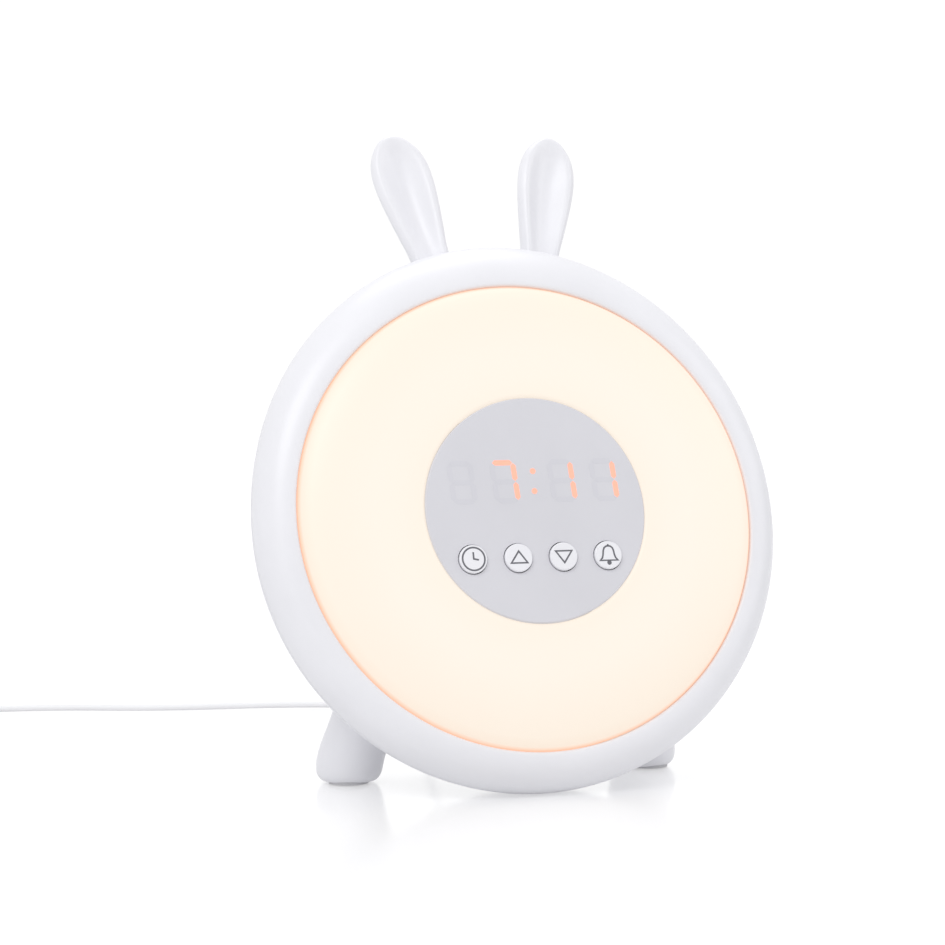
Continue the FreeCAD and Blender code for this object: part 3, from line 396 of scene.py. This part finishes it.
# Making pieces
def finish_mesh(bm, name, look, body=CASING, matrix=TO_TABLE, smooth=True):
    """Turns the bmesh, modelled in millimetres, into a piece that rides on a body."""
    bm.transform(matrix)
    bmesh.ops.recalc_face_normals(bm, faces=bm.faces)
    mesh = bpy.data.meshes.new(name)
    bm.to_mesh(mesh)
    bm.free()
    mesh.polygons.foreach_set("use_smooth", [smooth] * len(mesh.polygons))
    obj = bpy.data.objects.new(name, mesh)
    bpy.context.scene.collection.objects.link(obj)
    dress(obj, look)
    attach(obj, body)
    return obj


def ease(share):
    return share * share * (3 - 2 * share)


def bezier(poles, count):
    points = []
    for i in range(count + 1):
        t = i / count
        weights = ((1 - t) ** 3, 3 * (1 - t) ** 2 * t, 3 * (1 - t) * t ** 2, t ** 3)
        points.append(tuple(sum(w * p[k] for w, p in zip(weights, poles)) for k in (0, 1)))
    return points


def circle(x, y, radius, count):
    turns = [2 * math.pi * i / count for i in range(count)]
    return [(x + radius * math.cos(turn), y + radius * math.sin(turn)) for turn in turns]


def flowing(rows, steps=6):
    """More rows between the given ones, on a smooth curve through them."""
    made = []
    for i in range(len(rows) - 1):
        a, b, c, d = rows[max(i - 1, 0)], rows[i], rows[i + 1], rows[min(i + 2, len(rows) - 1)]
        for k in range(steps):
            t = k / steps
            made.append(tuple(q + t * (r - p) / 2 + t * t * (p - 2.5 * q + 2 * r - s / 2)
                              + t ** 3 * (1.5 * (q - r) + (s - p) / 2) for p, q, r, s in zip(a, b, c, d)))
    return made + [rows[-1]]


def lathe(bm, outline):
    """Spins an outline of (radius, depth) points about the clock's axis."""
    verts = [bm.verts.new((r, d, 0)) for r, d in outline]
    edges = [bm.edges.new(pair) for pair in zip(verts, verts[1:])]
    bmesh.ops.spin(bm, geom=verts + edges, cent=(0, 0, 0), axis=(0, 1, 0), angle=2 * math.pi, steps=STEPS,
                   use_merge=True)
    bmesh.ops.remove_doubles(bm, verts=bm.verts, dist=0.001)


def rings(bm, loops, caps=True):
    """Bridges a list of loops of places, all of one length, into a skin with or without flat ends."""
    previous = None
    for places in loops:
        made = bmesh.ops.create_circle(bm, cap_ends=False, radius=1, segments=len(places))["verts"]
        for vert, place in zip(made, places):
            vert.co = place
        ring = list(dict.fromkeys(edge for vert in made for edge in vert.link_edges))
        if previous:
            bmesh.ops.bridge_loops(bm, edges=previous + ring)
        elif caps:
            bmesh.ops.contextual_create(bm, geom=ring)
        previous = ring
    if caps:
        bmesh.ops.contextual_create(bm, geom=previous)


def thicken(bm, faces, thick):
    """Gives flat faces on the clock's face or back thickness towards the front."""
    moved = bmesh.ops.extrude_face_region(bm, geom=faces)["geom"]
    bmesh.ops.translate(bm, verts=[g for g in moved if isinstance(g, bmesh.types.BMVert)], vec=(0, -thick, 0))


def flat_shape(bm, points, depth):
    """A filled outline on the clock's face."""
    verts = [bm.verts.new((x, depth, z)) for x, z in points]
    thicken(bm, bmesh.ops.contextual_create(bm, geom=verts)["faces"], PRINT_THICK)


def stroke(bm, points, depth, closed=False):
    """A sign's line along points on the face."""
    verts = []
    count = len(points)
    for i, (x, z) in enumerate(points):
        before = points[(i - 1) % count] if closed or i else points[0]
        after = points[(i + 1) % count] if closed or i < count - 1 else points[-1]
        one = Vector((x - before[0], z - before[1]))
        two = Vector((after[0] - x, after[1] - z))
        one = one.normalized() if one.length else two.normalized()
        two = two.normalized() if two.length else one
        across = Vector((-(one + two).y, (one + two).x)).normalized()
        across *= SIGN_LINE / 2 / max(MITRE_LIMIT, across.dot(Vector((-one.y, one.x))))
        verts.append([bm.verts.new((x + end * across.x, depth, z + end * across.y)) for end in (-1, 1)])
    pairs = list(zip(verts, verts[1:])) + ([(verts[-1], verts[0])] if closed else [])
    for (a, b), (c, d) in pairs:
        bm.faces.new((a, c, d, b))


# Casing: the rim, and the rear shell's outer skin, both a little taller than the solids
def crown(angle, depth):
    """How far the casing swells above its round form, at an angle and depth."""
    grow = min(1.0, depth / PARTING_DEPTH)
    past = depth - PARTING_DEPTH - CROWN_HOLD
    fade = min(1.0, max(0.0, past / (CROWN_END - PARTING_DEPTH - CROWN_HOLD)))
    share = math.sin(math.pi / 2 * grow) * (1 - ease(fade))
    return CROWN_RISE * max(0.0, math.sin(angle)) ** 2 * share


def casing_loop(radius, depth, swell=True):
    loop = []
    for i in range(STEPS):
        angle = 2 * math.pi * i / STEPS
        reach = radius + (crown(angle, depth) if swell else 0)
        loop.append((reach * math.cos(angle), depth, reach * math.sin(angle)))
    return loop


rim_reach = BODY_RADIUS - RIM_CREST
rim_outline = bezier([(RIM_CREST, 0), (RIM_CREST + CIRCLE_PULL * rim_reach, 0),
                      (BODY_RADIUS, RIM_DEPTH * (1 - CIRCLE_PULL)), (BODY_RADIUS, RIM_DEPTH)], 24)
rim_outline += [(BODY_RADIUS, PARTING_DEPTH - PARTING_EDGE),
                (BODY_RADIUS - PARTING_EDGE, PARTING_DEPTH - RIM_GAP),
                (BODY_RADIUS - PARTING_LEDGE, PARTING_DEPTH - RIM_GAP)]
bm = bmesh.new()
rings(bm, [casing_loop(LIGHT_RADIUS + gap, depth, swell=False) for gap, depth in RIM_LIP]
      + [casing_loop(radius, depth) for radius, depth in rim_outline], caps=False)
rim = finish_mesh(bm, "casing_rim", casing_white)
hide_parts("front_rim")

back_outline = bezier([(BODY_RADIUS, PARTING_DEPTH), (BODY_RADIUS, PARTING_DEPTH + BACK_PULL),
                       (BODY_RADIUS - BACK_PULL_IN, BODY_DEPTH), (BACK_RADIUS, BODY_DEPTH)], 60)
skin = [(BODY_RADIUS - PARTING_LEDGE, PARTING_DEPTH + SKIN_GAP),
        (BODY_RADIUS - PARTING_EDGE, PARTING_DEPTH + SKIN_GAP)]
skin += [(r + SKIN_LIFT, d) for r, d in back_outline if SKIN_START < d < SKIN_STOP]
skin_end = next((r - SKIN_LIFT, d) for r, d in back_outline if d >= CROWN_END)
bm = bmesh.new()
rings(bm, [casing_loop(radius, depth) for radius, depth in skin]
      + [casing_loop(*skin_end, swell=False)], caps=False)
finish_mesh(bm, "casing_crown", casing_white)


# Speaker grille
def edge_circle(bm, x, z, radius, steps):
    verts = [bm.verts.new((u, GRILLE_DEPTH, v)) for u, v in circle(x, z, radius, steps)]
    return [bm.edges.new((verts[i - 1], verts[i])) for i in range(steps)]


bm = bmesh.new()
edges = edge_circle(bm, 0, 0, GRILLE_EDGE, 96) + edge_circle(bm, 0, 0, GRILLE_HOLE, 24)
for ring in (1, 2):
    for x, z in circle(0, 0, GRILLE_PITCH * ring, 6 * ring):
        edges += edge_circle(bm, x, z, GRILLE_HOLE, 24)
filled = bmesh.ops.triangle_fill(bm, use_beauty=True, edges=edges)["geom"]
thicken(bm, [g for g in filled if isinstance(g, bmesh.types.BMFace)], GRILLE_THICK)
finish_mesh(bm, "grille_middle", casing_white, smooth=False)

# Diffuser
dome = bezier([(LIGHT_HOLE, -DOME_HEIGHT), (DOME_FLAT, -DOME_HEIGHT),
               (LIGHT_RADIUS - DOME_SHOULDER[0], DOME_SHOULDER[1]), (LIGHT_RADIUS, DOME_END)], 40)
bm = bmesh.new()
lathe(bm, [(LIGHT_HOLE, 0), (LIGHT_HOLE, -DOME_HEIGHT + LIGHT_HOLE_EDGE)] + dome
      + [(LIGHT_RADIUS, LIGHT_END)])
lens = finish_mesh(bm, "diffuser_lens", diffuser_lit)
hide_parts("light_diffuser")


# Display digits
def segment(bm, x, z, length, upright, depth):
    a, b = length / 2, DIGIT_STROKE / 2
    outline = [(-a, 0), (-a + b, b), (a - b, b), (a, 0), (a - b, -b), (-a + b, -b)]
    points = [(x + (v if upright else u), z + (u if upright else v)) for u, v in outline]
    flat_shape(bm, [(px + (pz - DIGIT_ROW) * math.tan(DIGIT_SLANT), pz) for px, pz in points], depth)


def digit(bm, middle, keys, depth):
    w, h = DIGIT_WIDTH - DIGIT_STROKE, (DIGIT_HEIGHT - DIGIT_STROKE) / 2
    for key in keys:
        side, level, upright = SEGMENT_PLACES[key]
        length = (h if upright else w) - SEGMENT_GAP
        segment(bm, middle + side * w / 2, DIGIT_ROW + level * h, length, upright, depth)


bm = bmesh.new()
for middle, sign in zip(DIGIT_CENTRES, TIME):
    digit(bm, middle, SEVEN_SEGMENTS[sign], PANEL_FRONT - PRINT_LIFT)
for level in (-1, 1):
    flat_shape(bm, circle(0, DIGIT_ROW + level * COLON_RISE, COLON_RADIUS, 24), PANEL_FRONT - PRINT_LIFT)
finish_mesh(bm, "display_digits_lit", digit_lit, smooth=False)

bm = bmesh.new()
for middle, sign in zip(DIGIT_CENTRES, TIME):
    unlit = [key for key in "abcdefg" if key not in SEVEN_SEGMENTS[sign]]
    digit(bm, middle, unlit, PANEL_FRONT - PRINT_LIFT + UNLIT_DROP)
finish_mesh(bm, "display_digits_dark", digit_dark, smooth=False)

# Signs on the buttons
for index, key in enumerate(BUTTONS):
    x, z = (index - 1.5) * BUTTON_PITCH, BUTTON_HEIGHT
    depth = BUTTON_FRONT - PRINT_LIFT
    bm = bmesh.new()
    if key == "clock":
        stroke(bm, circle(x, z, CLOCK_RING, 60), depth, closed=True)
        stroke(bm, [(x + u, z + v) for u, v in CLOCK_HANDS], depth)
    elif key == "alarm":
        half = [(x + u, z + v + BELL_LIFT) for u, v in BELL_HALF]
        stroke(bm, half + [(2 * x - u, v) for u, v in reversed(half[1:])], depth, closed=True)
        flat_shape(bm, circle(x, z + CLAPPER_HEIGHT, CLAPPER_RADIUS, 24), depth)
        stroke(bm, [(x, z + v) for v in BELL_TOP], depth)
    else:
        turn = 1 if key == "up" else -1
        corners = [(-ARROW_HALF, ARROW_BASE), (ARROW_HALF, ARROW_BASE), (0, ARROW_TIP)]
        stroke(bm, [(x + u, z + turn * v) for u, v in corners], depth, closed=True)
    finish_mesh(bm, key + "_sign", icon_grey, key + "_key", smooth=False)

# Ears and feet
for side, word in ((-1, "left"), (1, "right")):
    axis = Vector((side * math.sin(EAR_SPREAD), math.sin(EAR_BACK), math.cos(EAR_SPREAD))).normalized()
    turn = (Vector((0, 0, 1)).rotation_difference(axis).to_matrix().to_4x4()
            @ Matrix.Rotation(side * EAR_TOE, 4, "Z"))
    place = Matrix.Translation((side * EAR_ROOT[0], EAR_ROOT[1], EAR_ROOT[2])) @ turn
    loops = []
    for along, width, thick, hollow in flowing(EAR_ROWS):
        loop = []
        for x, y in circle(0, 0, 1, EAR_STEPS):
            dip = hollow * max(0.0, 1 - (x / EAR_HOLLOW) ** 2) ** 1.5 if y < 0 else 0.0
            loop.append(place @ Vector((width / 2 * x, thick / 2 * y + dip, along)))
        loops.append(loop)
    bm = bmesh.new()
    rings(bm, loops)
    ear = finish_mesh(bm, "ear_shape_" + word, casing_white)
    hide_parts("ear_" + word)

for side, word in ((-1, "left"), (1, "right")):
    loops = []
    for z, radius, shift in flowing(FOOT_ROWS, 4):
        x, y = side * (FOOT_PLACE[0] - shift), FOOT_PLACE[1] + FACE_Y - FOOT_LEAN * shift
        loops.append([(u, v, z) for u, v in circle(x, y, radius, FOOT_STEPS)])
    bm = bmesh.new()
    rings(bm, loops)
    foot = finish_mesh(bm, "foot_shape_" + word, casing_white, matrix=TO_METRES)
    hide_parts("foot_" + word)


# Power cord
def coil_points():
    """Control points of the coil: in on the lower layer, up over half a turn, out on the upper layer."""
    points = []
    halves = 4 * COIL_TURNS + 2
    lift = 1 / math.cos(math.pi / COIL_POINTS)
    for i in range(1, halves * COIL_POINTS // 2):
        half = 2 * i / COIL_POINTS
        inward = min(half, 2 * COIL_TURNS)
        outward = max(0.0, half - 2 * COIL_TURNS - 1)
        radius = COIL_OUTER - COIL_PITCH / 2 * inward + COIL_PITCH / 2 * outward
        rise = COIL_RISE * ease(min(1.0, max(0.0, half - 2 * COIL_TURNS)))
        angle = math.pi * half
        points.append((COIL_X - radius * lift * math.sin(angle), COIL_Y + radius * lift * math.cos(angle),
                       ON_TABLE + rise))
    return points


def smooth_curve(name, points, diameter):
    data = bpy.data.curves.new(name, "CURVE")
    data.dimensions = "3D"
    data.bevel_depth = diameter / 2
    data.bevel_resolution = 4
    data.resolution_u = 8
    spline = data.splines.new("NURBS")
    spline.points.add(len(points) - 1)
    for point, place in zip(spline.points, points):
        point.co = (*place, 1)
    spline.order_u = 3
    spline.use_endpoint_u = True
    data.use_fill_caps = True
    obj = bpy.data.objects.new(name, data)
    bpy.context.scene.collection.objects.link(obj)
    return obj


lead_out = [(COIL_X - reach, USB_Y, ON_TABLE + COIL_RISE) for reach in USB_LEAD]
cord = smooth_curve("mains_lead", CORD_ROUTE + coil_points() + lead_out, CORD_DIAMETER)
dress(cord, cord_white)
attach(cord, CASING)
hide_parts("power_cord", "cord_coil")

# Camera
target = Vector((AIM[0] * math.cos(AZIMUTH), AIM[0] * math.sin(AZIMUTH) + FACE_Y, AIM[1])) * MM
ahead = Vector((-math.sin(AZIMUTH) * math.cos(PITCH), math.cos(AZIMUTH) * math.cos(PITCH), -math.sin(PITCH)))
camera_data = bpy.data.cameras.new("camera")
camera_data.sensor_width = SENSOR
camera_data.lens = FOCAL_PIXELS / PICTURE * SENSOR
camera = bpy.data.objects.new("camera", camera_data)
bpy.context.scene.collection.objects.link(camera)
camera.rotation_mode = "QUATERNION"
camera.rotation_quaternion = ahead.to_track_quat("-Z", "Y") @ Matrix.Rotation(ROLL, 3, "Z").to_quaternion()
camera.location = target - ahead * DISTANCE
bpy.context.scene.camera = camera

# Table, sky and lights
bm = bmesh.new()
bmesh.ops.create_grid(bm, x_segments=2, y_segments=2, size=TABLE_SIZE)
mesh = bpy.data.meshes.new("table_top")
bm.to_mesh(mesh)
bm.free()
floor = bpy.data.objects.new("table_top", mesh)
floor.location = (0, 0, -TABLE_DROP)
bpy.context.scene.collection.objects.link(floor)
dress(floor, white_surface("table_white"))

world = bpy.data.worlds.new("studio")
bpy.context.scene.world = world
world.use_nodes = True
sky = Nodes(world.node_tree)
sky.set(world.node_tree.nodes["Background"],
        {"Strength": sky.span(sky.seen(), *SKY_LEVELS), "Color": (1, 1, 1, 1)})

for name, (place, size, power, aim) in LIGHTS.items():
    data = bpy.data.lights.new(name, "AREA")
    data.shape = "DISK"
    data.size = size
    data.energy = power
    light = bpy.data.objects.new(name, data)
    light.location = place
    light.rotation_mode = "QUATERNION"
    light.rotation_quaternion = (Vector(aim) - Vector(place)).to_track_quat("-Z", "Y")
    bpy.context.scene.collection.objects.link(light)

bpy.context.scene.view_settings.view_transform = "Standard"
